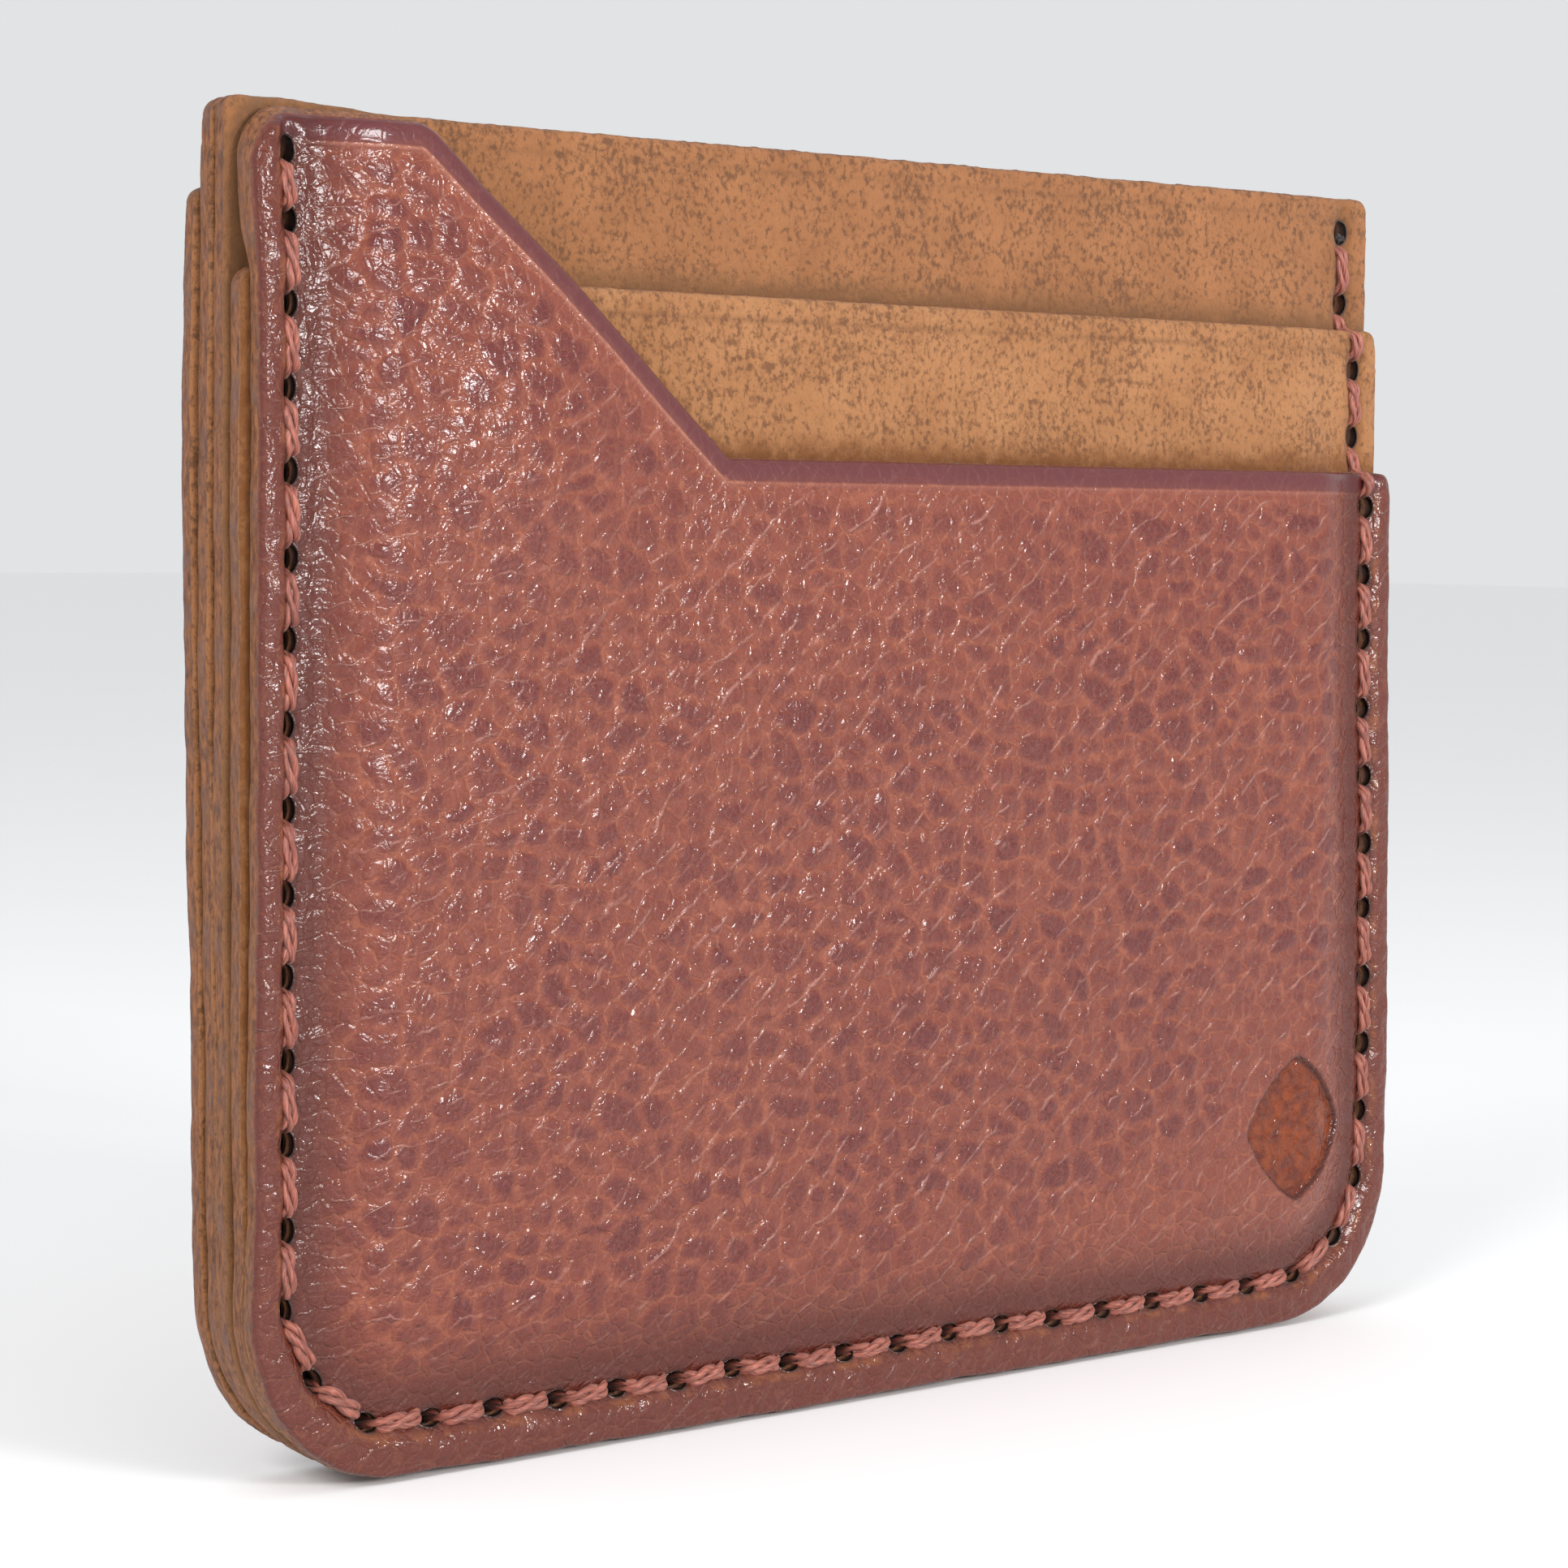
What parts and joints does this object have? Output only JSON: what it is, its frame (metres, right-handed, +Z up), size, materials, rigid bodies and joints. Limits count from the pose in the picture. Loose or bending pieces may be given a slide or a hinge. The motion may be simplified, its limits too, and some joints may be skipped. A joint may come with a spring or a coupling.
{
  "type": "card holder",
  "caption": "Flat leather card holder with open-topped pockets behind one another, a slanted front pocket, and a hand-sewn edge.",
  "frame": {"origin": "middle of the bottom edge: centred on width and on thickness", "axes": "+X along the width, towards the low end of the front pocket; +Y towards the back panel, so the front pocket faces -Y; +Z up, towards the pocket mouths"},
  "size_m": [0.1, 0.0082, 0.08],
  "materials": {
    "grain_leather": "waxed pull-up leather, pebbled grain, satin",
    "tan_leather": "mottled tan leather, matt",
    "suede_leather": "nubuck with a short nap, matt",
    "glue": "dried contact glue, satin",
    "thread": "waxed twisted thread, slight sheen"
  },
  "bodies": {
    "root": {"front_panel": "grain_leather", "middle_panel": "tan_leather", "inner_front_panel": "suede_leather", "inner_rear_panel": "suede_leather", "back_panel": "grain_leather", "glue_line_1": "glue", "glue_line_2": "glue", "glue_line_3": "glue", "glue_line_4": "glue", "stitch_thread": "thread"}
  },
  "joints": []
}
